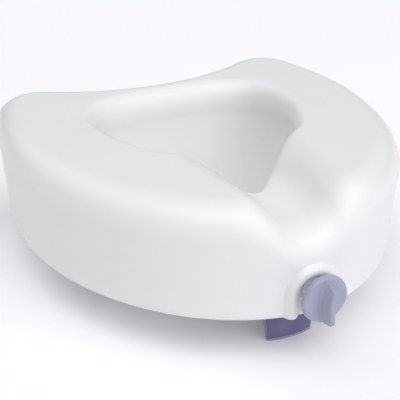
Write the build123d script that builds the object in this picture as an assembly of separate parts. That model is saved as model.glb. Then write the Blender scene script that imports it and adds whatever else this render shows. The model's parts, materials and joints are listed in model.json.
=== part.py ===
from build123d import *
import math
import os

# Raised toilet seat with a front rim lock.  Millimetres.
# +Z up, +X to the right of a person facing the seat's front, -Y the front.
# The origin is in the rest plane (the flat underside), on the seat's centre line.

# ---------------------------------------------------------------- driving dimensions
BODY_H = 119.0            # rest plane to the flat top
HALF_WIDTH = 215.0        # widest half-width of the body
FRONT_Y = -196.0          # front of the body
FRONT_POWER = 1.94        # power of the front's superellipse: 2 would be an ellipse
WIDE_Y = 63.0             # where the body is widest
SIDE_R = 433.0            # radius of the side behind the widest line
CORNER_Y, CORNER_R = 170.0, 50.0              # centre line and radius of the rounded rear corner
REAR_Y = 179.5            # middle of the hollow rear edge
WALL = 3.0                # moulded wall
FLOOR_T = 4.0             # wall of the underside
TOP_R = 25.0              # rounding of the outer top edge
RIM_TIP_R, RIM_MID_R, RIM_REAR_R = 8.0, 13.5, 20.0    # rounding into the opening
DRAFT_FRONT, DRAFT_SIDE = 1.0, 6.0            # how much narrower the wall is at the bottom
FUNNEL_FRONT, FUNNEL_REAR = 5.0, 18.0        # how far the inner wall leans in by z = 0
LEAN_POWER = 1.25         # the funnel's curve
SKIRT_DEPTH = 26.0        # splash skirt below the rest plane
SKIRT_T, SKIRT_TIP_T = 9.0, 6.0               # its thickness at the root and at the tip
SKIRT_STEPS = 18          # steps along its half outline

# Edge of the opening, right half, from the front tip to the middle of the rear.
OPENING = [(0, -79.4), (18.7, -67.5), (55.3, -37.9), (79.3, -19.4), (97, 15.9),
           (106, 52), (105, 88), (90, 115), (55, 129), (0, 132)]

# Front dip: a channel whose sizes are given at DIP_Y and change along Y.
DIP_Y = -140.0
DIP_DEPTH, DIP_DEPTH_RATE = 34.6, 0.072       # depth below the flat top, and its change per mm of Y
DIP_FLOOR, DIP_FLOOR_RATE = 6.2, -0.077       # half-width of its floor
DIP_BANK, DIP_BANK_RATE = 58.2, 0.182         # half-width where its banks reach the top
DIP_SPAN = (-60.0, 120.0)                     # the change stops this far before and behind DIP_Y
DIP_FADE = 30.0           # the dip fades in over this length, from y = 0 to the front

KNOB_Z = 28.0             # height of the axis of knob and spindle
KNOB_R, KNOB_EDGE_R = 24.2, 2.5
KNOB_FACE_Y, KNOB_BACK_Y = -217.0, -210.5     # the knob's disc
GRIP_FACE_Y = -230.0      # front of the finger grip
HUB_R, HUB_BACK_Y = 11.0, -197.3
# Outline of the grip at its root and at its front, right half, top to bottom, about the axis.
GRIP_ROOT = [(0, 22), (3.8, 15), (7.4, 6), (6.4, -8), (5.4, -23.2)]
GRIP_FACE = [(0, 15), (3.2, 5), (2.7, -5), (2.3, -12), (2.3, -21.8)]

ARCH_Z, ARCH_R, ARCH_TUBE = 24.0, 23.5, 7.0   # arched rib around the knob
ARCH_Y = -193.5           # plane of the rib's centre line

SPINDLE_R, SPINDLE_BORE = 6.0, 6.08
SPINDLE_FRONT, SPINDLE_REAR = -212.0, -109.3
JOURNAL_R, JOURNAL_FRONT = 5.0, -114.2
GROOVE_R, GROOVE_Y0, GROOVE_Y1 = 4.7, -179.8, -178.6
PIN_R, PIN_Y, PIN_HALF = 1.5, -200.6, 10.8
SPOT_Y, SPOT_R = -193.5, 13.0                 # flat seat for the bushing in the front wall
SLEEVE_R = 9.0
BUSH_FLANGE_R, BUSH_FLANGE_T = 12.5, 2.5
THRUST_R, THRUST_T = 11.5, 1.1
SLACK = 0.2               # running gap along the spindle
CLIP_R, CLIP_MOUTH, CLIP_HOLE_AT, CLIP_HOLE_R = 9.5, 4.1, 5.5, 1.4
TIP_FLANGE_R, TIP_FLANGE_T, TIP_SLEEVE_R = 9.5, 2.0, 7.0

POCKET_HALF, POCKET_FRONT, POCKET_REAR, POCKET_TOP = 36.0, -184.3, -108.5, 50.5
POCKET_ROOF_T = 7.5       # solid above the pocket
HOUSING_HALF, HOUSING_FRONT, HOUSING_REAR, HOUSING_TOP = 35.5, -184.0, -109.0, 50.0
HOUSING_T = 3.0
FLANGE_HALF, FLANGE_T = 49.0, 2.8
FLANGE_FRONT, FLANGE_REAR = -172.0, -116.0
FLANGE_SCREW_X, FLANGE_SCREW_INSET = 42.5, 8.0
RAIL_Z, RAIL_W, RAIL_H = 20.0, 3.0, 4.0
RECESSED = 0.2            # how far flanges and hook plates sit above the rest plane

CARRIAGE_FRONT, CARRIAGE_REAR = -158.0, -138.0
CARRIAGE_HALF, CARRIAGE_BOTTOM, CARRIAGE_TOP = 32.0, 5.0, 46.0
CORE_INNER, CORE_OUTER, CORE_T = 18.0, 27.0, 4.5      # cored-out pockets and the wall around them
BLADE_FRONT = -161.0      # foremost line of the blade's rubber facing
BLADE_T = 3.0
BLADE_RISE = 2.0          # how far the blade runs up into the carriage
BLADE_TOP_HALF, BLADE_LOW_HALF = 29.5, 25.0
BLADE_BOTTOM = -49.0
BLADE_BOW = 4.0           # how far the blade's ends sit behind its middle
BLADE_SPARE = 4.0         # extra half-width of the strips that the taper trims
CHEEK_T = 4.0             # side cheeks of the blade
CHEEK_TOE, CHEEK_REAR = 0.5, -143.0           # depth of their tips, and their rear edge below the seat
PAD_T, LIP_H = 1.5, 2.5
PAD_TOP, PAD_GAP = -1.0, 0.1                  # top edge of the facing, and its gap to the lip
PAD_INSET = 0.4           # narrower than the blade

NUT_HALF, NUT_T = 10.0, 8.8
NUT_CLEAR = 0.8           # gap between the spindle and the carriage
KEEPER_T, KEEPER_HALF, KEEPER_RISE = 2.0, 16.0, 13.0
KEEPER_SCREW_X, KEEPER_SCREW_R, KEEPER_SCREW_L = 13.0, 1.5, 10.0
KEEPER_HEAD_R, KEEPER_HEAD_T = 2.7, 1.8

HOOK_X, HOOK_W = 48.0, 34.0
HOOK_FRONT, HOOK_REAR = 132.0, 170.0
HOOK_T, HOOK_LEG_T = 6.0, 6.0
HOOK_LIP, HOOK_LIP_T = 18.0, 8.0
HOOK_SCREW_Y, HOOK_SCREW_DX = 163.0, 10.0
WASHER_R, WASHER_T = 5.0, 0.8
HEAD_SEAT = 3.4           # where the washers bear in the hook plates
HOOK_EDGE_R, HOOK_INNER_R = 2.5, 3.0
HOOK_PAD_T, HOOK_PAD_INSET = 2.0, 2.0

RIM_PAD_L, RIM_PAD_W, RIM_PAD_T = 44.0, 16.0, 3.5
RIM_PAD_POCKET = 2.5
RIM_PAD_A, RIM_PAD_B = 152.0, 165.0           # half-axes of the ellipse that the pads lie on
RIM_PAD_ANGLES = {"front": -50.0, "middle": 5.0, "rear": 48.0}

VENT_Y, VENT_R, VENT_CAP_R, VENT_CAP_T = 152.0, 6.0, 9.0, 1.6
VENT_TOP, VENT_WALL = 7.0, 1.5                # top of the plug's stem, and its wall

SCREW_R, SCREW_HEAD_R, SCREW_HEAD_T, SCREW_L = 2.1, 4.0, 2.2, 12.0
SLOT_HALF, SLOT_W = 2.4, 0.8                  # driver slots
BOSS_R, BOSS_TOP = 7.0, 24.0                  # solid bosses round the screws
HOUSING_PILOT, HOOK_PILOT = 16.0, 20.0        # depth of the screws' holes in the body
FIT = 0.05                # radial gap of pieces that are fitted together
GAP = 0.3                 # clearance around moulded pieces

FRONT_STEPS = 240         # points of the front's outline
PROFILE_T = [i / 24 for i in range(25)]       # the same spline parameters in every section
SECTIONS = 32             # sections of the ring's right half
SECTION_POWER = 1.4       # the sections stand closer together at the front
OVERRUN = 2               # sections past the centre plane, so the halves meet smoothly
LOW = -60.0               # below everything
FAR = 400.0               # outside everything


# ---------------------------------------------------------------- helpers
def box(x0, x1, y0, y1, z0, z1):
    return Pos((x0 + x1) / 2, (y0 + y1) / 2, (z0 + z1) / 2) * Box(x1 - x0, y1 - y0, z1 - z0)


def rod(x, y0, y1, z, r):
    """A cylinder along Y."""
    return Pos(x, (y0 + y1) / 2, z) * Rot(90, 0, 0) * Cylinder(r, y1 - y0)


def post(x, y, z0, z1, r):
    """A cylinder along Z."""
    return Pos(x, y, (z0 + z1) / 2) * Cylinder(r, z1 - z0)


# ---------------------------------------------------------------- plan outlines
def arc_points(cx, cy, r, a0, a1, n):
    return [(cx + r * math.cos(a0 + (a1 - a0) * i / n), cy + r * math.sin(a0 + (a1 - a0) * i / n))
            for i in range(n + 1)]


def outer_outline():
    """Right half of the plan: superellipse front, side arc, rear corner, hollow rear arc.

    The arcs are tangent: the corner circle touches the side circle from inside.
    """
    front = []
    for i in range(FRONT_STEPS + 1):
        a = math.pi / 2 * i / FRONT_STEPS
        across, along = math.sin(a) ** (2 / FRONT_POWER), abs(math.cos(a)) ** (2 / FRONT_POWER)
        front.append((HALF_WIDTH * across, WIDE_Y - (WIDE_Y - FRONT_Y) * along))
    side_x = HALF_WIDTH - SIDE_R
    corner_start = math.asin((CORNER_Y - WIDE_Y) / (SIDE_R - CORNER_R))
    corner_x = side_x + (SIDE_R - CORNER_R) * math.cos(corner_start)
    side = arc_points(side_x, WIDE_Y, SIDE_R, 0, corner_start, 40)
    k = CORNER_R - REAR_Y
    rear_cy = (corner_x ** 2 + CORNER_Y ** 2 - k * k) / (2 * (CORNER_Y + k))
    corner_end = math.atan2(rear_cy - CORNER_Y, -corner_x)
    corner = arc_points(corner_x, CORNER_Y, CORNER_R, corner_start, corner_end, 40)
    rear_start = math.atan2(CORNER_Y - rear_cy, corner_x)
    rear = arc_points(0, rear_cy, rear_cy - REAR_Y, rear_start, -math.pi / 2, 60)
    return front + side[1:] + corner[1:] + rear[1:]


def opening_outline():
    """Right half of the opening: a Catmull-Rom curve through OPENING, level at both ends."""
    pts = [(-OPENING[1][0], OPENING[1][1])] + OPENING + [(-OPENING[-2][0], OPENING[-2][1])]
    curve = []
    for p0, p1, p2, p3 in zip(pts, pts[1:], pts[2:], pts[3:]):
        for i in range(20):
            t = i / 20
            curve.append(tuple(0.5 * (2 * b + (c - a) * t + (2 * a - 5 * b + 4 * c - d) * t * t
                                      + (3 * b - a - 3 * c + d) * t ** 3)
                               for a, b, c, d in zip(p0, p1, p2, p3)))
    return curve + [OPENING[-1]]


class Track:
    """A half outline that is walked by its fraction of arc length."""

    def __init__(self, points):
        self.points = points
        self.at = [0.0]
        for a, b in zip(points, points[1:]):
            self.at.append(self.at[-1] + math.dist(a, b))

    def point(self, s):
        want = min(max(s, 0.0), 1.0) * self.at[-1]
        i = max(k for k, d in enumerate(self.at[:-1]) if d <= want)
        f = (want - self.at[i]) / (self.at[i + 1] - self.at[i])
        a, b = self.points[i], self.points[i + 1]
        return (a[0] + (b[0] - a[0]) * f, a[1] + (b[1] - a[1]) * f)

    def normal(self, s):
        """Unit normal that points away from the opening."""
        step = 2.0 / self.at[-1]
        if s < step / 2:
            return (0.0, -1.0)
        if s > 1 - step / 2:
            return (0.0, 1.0)
        a, b = self.point(s - step), self.point(s + step)
        length = math.dist(a, b)
        return ((b[1] - a[1]) / length, (a[0] - b[0]) / length)


OUTER = Track(outer_outline())
INNER = Track(opening_outline())


def smooth(t):
    t = min(max(t, 0.0), 1.0)
    return t * t * (3 - 2 * t)


def dip(x, y):
    """How far the top sits below BODY_H at a plan point: banks of two parabolas."""
    along = min(max(y - DIP_Y, DIP_SPAN[0]), DIP_SPAN[1])
    bank = DIP_BANK + DIP_BANK_RATE * along
    flat = DIP_FLOOR + DIP_FLOOR_RATE * along
    depth = DIP_DEPTH + DIP_DEPTH_RATE * along
    u = min(max((bank - abs(x)) / (bank - flat), 0.0), 1.0)
    across = 2 * u * u if u < 0.5 else 1 - 2 * (1 - u) ** 2
    return depth * across * smooth(-y / DIP_FADE)


def outer_point(s, inset, z):
    p, n = OUTER.point(s), OUTER.normal(s)
    return (p[0] - n[0] * inset, p[1] - n[1] * inset, z)


def inner_point(s, offset, z):
    """A point of the opening's side: offset is positive into the body."""
    p, n = INNER.point(s), INNER.normal(s)
    return (p[0] + n[0] * offset, p[1] + n[1] * offset, z)


def front_to_rear(s, front_value, rear_value):
    """Blend along the opening's length."""
    y0, y1 = OPENING[0][1], OPENING[-1][1]
    return front_value + (rear_value - front_value) * smooth((INNER.point(s)[1] - y0) / (y1 - y0))


def rim_radius(s):
    """Rounding into the opening: tight at the front tip, wide at the rear."""
    y = INNER.point(s)[1]
    to_middle = smooth((y - OPENING[0][1]) / -OPENING[0][1])
    to_rear = smooth(y / OPENING[-1][1])
    return RIM_TIP_R + (RIM_MID_R - RIM_TIP_R) * to_middle + (RIM_REAR_R - RIM_MID_R) * to_rear


def wall_top(s):
    """Height where the inner wall turns into the rim's rounding."""
    x, y = INNER.point(s)
    return BODY_H - dip(x, y) - rim_radius(s)


def lean(s, z):
    """How far the inner wall stands in front of the opening's edge line at a height."""
    height = wall_top(s)
    return front_to_rear(s, FUNNEL_FRONT, FUNNEL_REAR) * max((height - z) / height, 0.0) ** LEAN_POWER


def side_draft(s):
    return DRAFT_FRONT + (DRAFT_SIDE - DRAFT_FRONT) * abs(OUTER.normal(s)[0])


def section_points(s, t, bottom_in, bottom_out):
    """Profile of the ring at s, from the inner wall over the top to the outer wall.

    t is the inset from the outside of the moulding: 0 for the skin, WALL for the hollow.
    """
    rim_r, top_r, inner_top = rim_radius(s) - t, TOP_R - t, wall_top(s)
    pts = []
    for i in range(6):
        z = bottom_in + (inner_top - bottom_in) * i / 5
        pts.append(inner_point(s, t - lean(s, z), z))
    for i in range(1, 6):
        a = math.pi / 2 * i / 5
        x, y, _ = inner_point(s, t + rim_r * (1 - math.cos(a)), 0)
        pts.append((x, y, BODY_H - t - dip(x, y) - rim_r * (1 - math.sin(a))))
    rim_end, top_start = pts[-1], outer_point(s, TOP_R, 0)
    for i in range(1, 4):
        x = rim_end[0] + (top_start[0] - rim_end[0]) * i / 4
        y = rim_end[1] + (top_start[1] - rim_end[1]) * i / 4
        pts.append((x, y, BODY_H - t - dip(x, y)))
    for i in range(6):
        a = math.pi / 2 * i / 5
        x, y, _ = outer_point(s, t + top_r * (1 - math.sin(a)), 0)
        pts.append((x, y, BODY_H - t - dip(x, y) - top_r * (1 - math.cos(a))))
    z_top = pts[-1][2]
    for i in range(1, 6):
        z = z_top + (bottom_out - z_top) * i / 5
        pts.append(outer_point(s, t + side_draft(s) * (z_top - z) / z_top, z))
    return pts


def ring_half(t, bottom_in, bottom_out):
    """The right half: a loft that runs past the centre plane at both ends, then is cut there."""
    sections = []
    for i in range(-OVERRUN, SECTIONS + OVERRUN + 1):
        k = abs(i) if i < SECTIONS else 2 * SECTIONS - i
        side = -1 if i < 0 or i > SECTIONS else 1
        pts = section_points((k / SECTIONS) ** SECTION_POWER, t, bottom_in, bottom_out)
        pts = [Vector(side * x, y, z) for x, y, z in pts]
        profile = Edge.make_spline(pts, parameters=PROFILE_T)
        sections.append(Wire([profile, Edge.make_line(pts[-1], pts[0])]))
    loft_body = Part() + Solid.make_loft(sections)
    return loft_body & box(0, FAR, -FAR, FAR, -FAR, FAR)


def ring(t, bottom_in, bottom_out):
    half = ring_half(t, bottom_in, bottom_out)
    return half + mirror(half, Plane.YZ)


# ---------------------------------------------------------------- places that repeat
HOUSING_SCREWS = [(side * FLANGE_SCREW_X, y) for side in (-1, 1)
                  for y in (FLANGE_FRONT + FLANGE_SCREW_INSET, FLANGE_REAR - FLANGE_SCREW_INSET)]
HOOK_SCREWS = [(side * HOOK_X + dx, HOOK_SCREW_Y)
               for side in (-1, 1) for dx in (-HOOK_SCREW_DX, HOOK_SCREW_DX)]


def rim_pad_places():
    """Name, place and direction of each rim pad."""
    places = []
    for name, degrees in RIM_PAD_ANGLES.items():
        a = math.radians(degrees)
        x, y = RIM_PAD_A * math.cos(a), RIM_PAD_B * math.sin(a)
        turn = math.degrees(math.atan2(RIM_PAD_B * math.cos(a), -RIM_PAD_A * math.sin(a)))
        places.append(("rim_pad_right_" + name, x, y, turn))
        places.append(("rim_pad_left_" + name, -x, y, 180 - turn))
    return places


def rim_pad_solid(x, y, turn, z0, z1, grow):
    outline = SlotOverall(RIM_PAD_L + 2 * grow, RIM_PAD_W + 2 * grow)
    return Pos(x, y, z0) * Rot(0, 0, turn) * extrude(outline, z1 - z0)


# ---------------------------------------------------------------- seat body
def skirt_envelope():
    """Everything inside the skirt's outer face."""
    wires = []
    for z, thickness in ((0.0, SKIRT_T), (-SKIRT_DEPTH, SKIRT_TIP_T)):
        right = [inner_point(i / SKIRT_STEPS, thickness - lean(i / SKIRT_STEPS, z), z)
                 for i in range(SKIRT_STEPS + 1)]
        left = [(-x, y, z) for x, y, z in right[-2:0:-1]]
        wires.append(Wire([Edge.make_spline([Vector(*p) for p in right + left], periodic=True)]))
    return Part() + Solid.make_loft(wires, ruled=True)


def hollow():
    """The space inside the moulding, less what stays solid around pockets and screws."""
    solid = box(-POCKET_HALF - WALL, POCKET_HALF + WALL, -FAR, POCKET_REAR + WALL,
                LOW, POCKET_TOP + POCKET_ROOF_T)
    solid += box(-FLANGE_HALF - WALL, FLANGE_HALF + WALL, FLANGE_FRONT - WALL, FLANGE_REAR + WALL,
                 LOW, FLANGE_T + FLOOR_T)
    for x, y in HOUSING_SCREWS:
        solid += post(x, y, LOW, BOSS_TOP, BOSS_R)
    for side in (-1, 1):
        solid += box(side * HOOK_X - HOOK_W / 2 - WALL, side * HOOK_X + HOOK_W / 2 + WALL,
                     HOOK_FRONT - WALL, HOOK_REAR + WALL, LOW, HOOK_T + FLOOR_T)
    for x, y in HOOK_SCREWS:
        solid += post(x, y, LOW, BOSS_TOP, BOSS_R)
    return ring(WALL, FLOOR_T, FLOOR_T) - solid


def arch_rib():
    """Inverted U on the front wall, open at the bottom."""
    bow = Pos(0, ARCH_Y, ARCH_Z) * Rot(90, 0, 0) * Torus(ARCH_R, ARCH_TUBE)
    bow &= box(-FAR, FAR, -FAR, FAR, ARCH_Z, FAR)
    for side in (-1, 1):
        bow += post(side * ARCH_R, ARCH_Y, 0, ARCH_Z, ARCH_TUBE)
    return bow & box(-FAR, FAR, -FAR, POCKET_FRONT - 1, 0, FAR)


def seat_body():
    body = ring(0, -SKIRT_DEPTH, -SKIRT_DEPTH)
    body -= box(-FAR, FAR, -FAR, FAR, LOW, 0) - skirt_envelope()
    body += arch_rib()
    body -= hollow()
    body -= box(-POCKET_HALF, POCKET_HALF, POCKET_FRONT, POCKET_REAR, LOW, POCKET_TOP)
    body -= box(-FLANGE_HALF - GAP, FLANGE_HALF + GAP, FLANGE_FRONT - GAP, FLANGE_REAR + GAP,
                LOW, RECESSED + FLANGE_T + FIT)
    body -= rod(0, -FAR, SPOT_Y, KNOB_Z, SPOT_R)
    body -= rod(0, SPOT_Y - 1, POCKET_FRONT + 1, KNOB_Z, SLEEVE_R + FIT)
    for x, y in HOUSING_SCREWS:
        body -= post(x, y, 0, HOUSING_PILOT, SCREW_R + FIT)
    for side in (-1, 1):
        body -= box(side * HOOK_X - HOOK_W / 2 - GAP, side * HOOK_X + HOOK_W / 2 + GAP,
                    HOOK_FRONT - GAP, HOOK_REAR + GAP, LOW, RECESSED + HOOK_T + FIT)
    for x, y in HOOK_SCREWS:
        body -= post(x, y, 0, HOOK_PILOT, SCREW_R + FIT)
    for _, x, y, turn in rim_pad_places():
        body -= rim_pad_solid(x, y, turn, -1, RIM_PAD_POCKET, GAP)
    body -= post(0, VENT_Y, -1, VENT_CAP_T + FIT, VENT_CAP_R + GAP)
    body -= post(0, VENT_Y, 0, 2 * FLOOR_T, VENT_R + FIT)
    return body


def vent_plug():
    plug = post(0, VENT_Y, 0.5 * RECESSED, VENT_CAP_T, VENT_CAP_R)
    plug += post(0, VENT_Y, VENT_CAP_T, VENT_TOP, VENT_R)
    return plug - post(0, VENT_Y, VENT_CAP_T + VENT_WALL, FAR, VENT_R - VENT_WALL)


# ---------------------------------------------------------------- knob and spindle
def grip_outline(half, y):
    right = [Vector(x, y, KNOB_Z + z) for x, z in half]
    left = [Vector(-v.X, v.Y, v.Z) for v in right[:0:-1]]
    return Wire.make_polygon(right + left)


def lock_knob():
    disc = rod(0, KNOB_FACE_Y, KNOB_BACK_Y, KNOB_Z, KNOB_R)
    disc = fillet(disc.edges().filter_by(GeomType.CIRCLE).sort_by(Axis.Y)[0], KNOB_EDGE_R)
    hub = rod(0, KNOB_BACK_Y - 1, HUB_BACK_Y, KNOB_Z, HUB_R)
    outlines = [grip_outline(GRIP_ROOT, KNOB_FACE_Y + 1), grip_outline(GRIP_FACE, GRIP_FACE_Y)]
    knob = disc + hub + Solid.make_loft(outlines, ruled=True)
    knob -= rod(0, SPINDLE_FRONT - FIT, HUB_BACK_Y + 1, KNOB_Z, SPINDLE_R + FIT)
    return knob - cross_pin(PIN_R + FIT, HUB_R + 1)


def cross_pin(r, half_length):
    """A cylinder along X through knob and spindle."""
    return Pos(0, PIN_Y, KNOB_Z) * Rot(0, 90, 0) * Cylinder(r, 2 * half_length)


def knob_pin():
    return cross_pin(PIN_R, PIN_HALF)


def lock_screw():
    screw = rod(0, SPINDLE_FRONT, JOURNAL_FRONT, KNOB_Z, SPINDLE_R)
    screw += rod(0, JOURNAL_FRONT, SPINDLE_REAR, KNOB_Z, JOURNAL_R)
    screw -= tube(GROOVE_Y0, GROOVE_Y1, SPINDLE_R + 1, GROOVE_R)
    return screw - cross_pin(PIN_R + FIT, HUB_R)


def tube(y0, y1, outer_r, inner_r):
    """A ring around the spindle's axis."""
    return rod(0, y0, y1, KNOB_Z, outer_r) - rod(0, y0 - 1, y1 + 1, KNOB_Z, inner_r)


def front_bushing():
    flange = tube(SPOT_Y - BUSH_FLANGE_T, SPOT_Y, BUSH_FLANGE_R, SPINDLE_BORE)
    return flange + tube(SPOT_Y, HOUSING_FRONT + HOUSING_T - SLACK, SLEEVE_R, SPINDLE_BORE)


def thrust_washer():
    back = SPOT_Y - BUSH_FLANGE_T - SLACK / 2
    return tube(back - THRUST_T, back, THRUST_R, SPINDLE_R + SLACK)


def clip_washer():
    return tube(HOUSING_FRONT + HOUSING_T + SLACK / 2, GROOVE_Y0 - SLACK / 2, HUB_R, SPINDLE_R + SLACK)


def retaining_clip():
    """E-shaped clip: a ring with a mouth below and two plier holes above."""
    clip = tube(GROOVE_Y0 + SLACK / 2, GROOVE_Y1 - SLACK / 2, CLIP_R, GROOVE_R + SLACK / 2)
    clip -= box(-CLIP_MOUTH, CLIP_MOUTH, GROOVE_Y0, GROOVE_Y1, KNOB_Z - CLIP_R - 1, KNOB_Z)
    for side in (-1, 1):
        clip -= rod(side * CLIP_HOLE_AT, GROOVE_Y0, GROOVE_Y1, KNOB_Z + CLIP_HOLE_AT, CLIP_HOLE_R)
    return clip


def tip_bushing():
    face = HOUSING_REAR - HOUSING_T
    bore = JOURNAL_R + SPINDLE_BORE - SPINDLE_R
    return (tube(face - TIP_FLANGE_T, face, TIP_FLANGE_R, bore)
            + tube(face, HOUSING_REAR, TIP_SLEEVE_R, bore))


# ---------------------------------------------------------------- housing
def lock_housing():
    shell = box(-HOUSING_HALF, HOUSING_HALF, HOUSING_FRONT, HOUSING_REAR, RECESSED, HOUSING_TOP)
    inner = HOUSING_HALF - HOUSING_T
    shell -= box(-inner, inner, HOUSING_FRONT + HOUSING_T, HOUSING_REAR - HOUSING_T,
                 LOW, HOUSING_TOP - HOUSING_T)
    for side in (-1, 1):
        x0, x1 = sorted((side * (inner + 1), side * FLANGE_HALF))
        shell += box(x0, x1, FLANGE_FRONT, FLANGE_REAR, RECESSED, RECESSED + FLANGE_T)
        x0, x1 = sorted((side * (inner + 1), side * (inner - RAIL_W)))
        shell += box(x0, x1, HOUSING_FRONT + 1, HOUSING_REAR - 1, RAIL_Z - RAIL_H / 2, RAIL_Z + RAIL_H / 2)
    shell -= rod(0, HOUSING_FRONT - 1, HOUSING_FRONT + HOUSING_T + 1, KNOB_Z, SLEEVE_R + FIT)
    shell -= rod(0, HOUSING_REAR - HOUSING_T - 1, HOUSING_REAR + 1, KNOB_Z, TIP_SLEEVE_R + FIT)
    for x, y in HOUSING_SCREWS:
        shell -= flat_head_screw(x, y, FIT)
    return shell


def flat_head_screw(x, y, grow):
    """Countersunk screw that points up, its head flush with the flange."""
    head = Pos(x, y, RECESSED + SCREW_HEAD_T / 2) * Cone(SCREW_HEAD_R + grow, SCREW_R + grow, SCREW_HEAD_T)
    return head + post(x, y, RECESSED + SCREW_HEAD_T - 0.01, RECESSED + SCREW_L, SCREW_R + grow)


def housing_screws():
    screws = []
    for x, y in HOUSING_SCREWS:
        slot = drive_slot(x, y, SLOT_HALF, SLOT_W / 2, RECESSED)
        cross = drive_slot(x, y, SLOT_W / 2, SLOT_HALF, RECESSED)
        screws.append(flat_head_screw(x, y, 0) - slot - cross)
    return Compound(children=screws)


def drive_slot(x, y, half_x, half_y, z):
    """The driver's slot in a head whose outer face is at z."""
    return box(x - half_x, x + half_x, y - half_y, y + half_y, z - 1, z + 1)


# ---------------------------------------------------------------- clamp
def bowed_strip(front_y, thickness, z0, z1):
    """A wall whose plan is an arc that bulges to the front."""
    half = BLADE_TOP_HALF + BLADE_SPARE
    back = BLADE_BOW * (half / BLADE_LOW_HALF) ** 2
    with BuildSketch() as sketch:
        with BuildLine():
            ThreePointArc((-half, front_y + back), (0, front_y), (half, front_y + back))
            Line((half, front_y + back), (half, front_y + back + thickness))
            ThreePointArc((half, front_y + back + thickness), (0, front_y + thickness),
                          (-half, front_y + back + thickness))
            Line((-half, front_y + back + thickness), (-half, front_y + back))
        make_face()
    return Pos(0, 0, z0) * extrude(sketch.sketch, z1 - z0)


def blade_taper(inset):
    """Tapered envelope of the blade, seen from the front."""
    top, low = BLADE_TOP_HALF - inset, BLADE_LOW_HALF - inset
    with BuildSketch(Plane.XZ) as sketch:
        Polygon((-top, 0), (-low, BLADE_BOTTOM), (low, BLADE_BOTTOM), (top, 0),
                (top, CARRIAGE_BOTTOM + BLADE_RISE + 1), (-top, CARRIAGE_BOTTOM + BLADE_RISE + 1), align=None)
    return extrude(sketch.sketch, FAR, both=True)


def gussets():
    """Side cheeks of the blade, deepest at the carriage."""
    back = BLADE_FRONT + PAD_T + 1.5 * BLADE_BOW
    with BuildSketch(Plane.YZ) as sketch:
        Polygon((back, CARRIAGE_BOTTOM + BLADE_RISE), (CARRIAGE_REAR, CARRIAGE_BOTTOM + BLADE_RISE),
                (CHEEK_REAR, 0), (back + CHEEK_TOE, BLADE_BOTTOM), (back, BLADE_BOTTOM), align=None)
    cheeks = extrude(sketch.sketch, FAR, both=True)
    return (cheeks & blade_taper(0)) - blade_taper(CHEEK_T)


def clamp_bracket():
    block = box(-CARRIAGE_HALF, CARRIAGE_HALF, CARRIAGE_FRONT, CARRIAGE_REAR, CARRIAGE_BOTTOM, CARRIAGE_TOP)
    for side in (-1, 1):
        x0, x1 = sorted((side * CORE_INNER, side * CORE_OUTER))
        block -= box(x0, x1, CARRIAGE_FRONT + CORE_T, CARRIAGE_REAR + 1,
                     CARRIAGE_BOTTOM + CORE_T, CARRIAGE_TOP - CORE_T)
        x0, x1 = sorted((side * (HOUSING_HALF - HOUSING_T - RAIL_W - GAP), side * (CARRIAGE_HALF + 1)))
        block -= box(x0, x1, CARRIAGE_FRONT - 1, CARRIAGE_REAR + 1,
                     RAIL_Z - RAIL_H / 2 - GAP, RAIL_Z + RAIL_H / 2 + GAP)
    blade = bowed_strip(BLADE_FRONT + PAD_T, BLADE_T, BLADE_BOTTOM, CARRIAGE_BOTTOM + BLADE_RISE)
    blade += bowed_strip(BLADE_FRONT, PAD_T + 1, BLADE_BOTTOM, BLADE_BOTTOM + LIP_H)
    blade &= blade_taper(0)
    bracket = block + blade + gussets()
    bracket -= rod(0, CARRIAGE_FRONT - 1, CARRIAGE_REAR + 1, KNOB_Z, SPINDLE_R + NUT_CLEAR)
    nut_half = NUT_HALF + SLACK
    bracket -= box(-nut_half, nut_half, CARRIAGE_REAR - NUT_T - SLACK, CARRIAGE_REAR + 1,
                   KNOB_Z - nut_half, KNOB_Z + nut_half)
    for side in (-1, 1):
        bracket -= rod(side * KEEPER_SCREW_X, CARRIAGE_REAR - KEEPER_SCREW_L - 1, CARRIAGE_REAR + 1,
                       KNOB_Z, KEEPER_SCREW_R + FIT)
    return bracket


def clamp_pad():
    pad = bowed_strip(BLADE_FRONT, PAD_T - FIT, BLADE_BOTTOM + LIP_H + PAD_GAP, PAD_TOP)
    return pad & blade_taper(PAD_INSET)


def clamp_nut():
    nut = box(-NUT_HALF, NUT_HALF, CARRIAGE_REAR - NUT_T, CARRIAGE_REAR - SLACK / 2,
              KNOB_Z - NUT_HALF, KNOB_Z + NUT_HALF)
    return nut - rod(0, CARRIAGE_REAR - NUT_T - 1, CARRIAGE_REAR + 1, KNOB_Z, SPINDLE_BORE)


def nut_keeper():
    y0, y1 = CARRIAGE_REAR, CARRIAGE_REAR + KEEPER_T
    plate = box(-KEEPER_HALF, KEEPER_HALF, y0 + FIT, y1, KNOB_Z - KEEPER_RISE, KNOB_Z + KEEPER_RISE)
    plate -= rod(0, y0 - 1, y1 + 1, KNOB_Z, SPINDLE_R + NUT_CLEAR)
    for side in (-1, 1):
        plate -= rod(side * KEEPER_SCREW_X, y0 - 1, y1 + 1, KNOB_Z, KEEPER_SCREW_R + FIT)
    return plate


def keeper_screws():
    screws = []
    y0 = CARRIAGE_REAR + KEEPER_T + FIT
    y1 = y0 + KEEPER_HEAD_T
    for side in (-1, 1):
        x = side * KEEPER_SCREW_X
        screw = rod(x, CARRIAGE_REAR - KEEPER_SCREW_L, y0, KNOB_Z, KEEPER_SCREW_R)
        screw += rod(x, y0, y1, KNOB_Z, KEEPER_HEAD_R)
        screws.append(screw - box(x - KEEPER_HEAD_R / 1.5, x + KEEPER_HEAD_R / 1.5, y1 - SLOT_W, y1 + 1,
                                  KNOB_Z - SLOT_W / 2, KNOB_Z + SLOT_W / 2))
    return Compound(children=screws)


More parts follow.
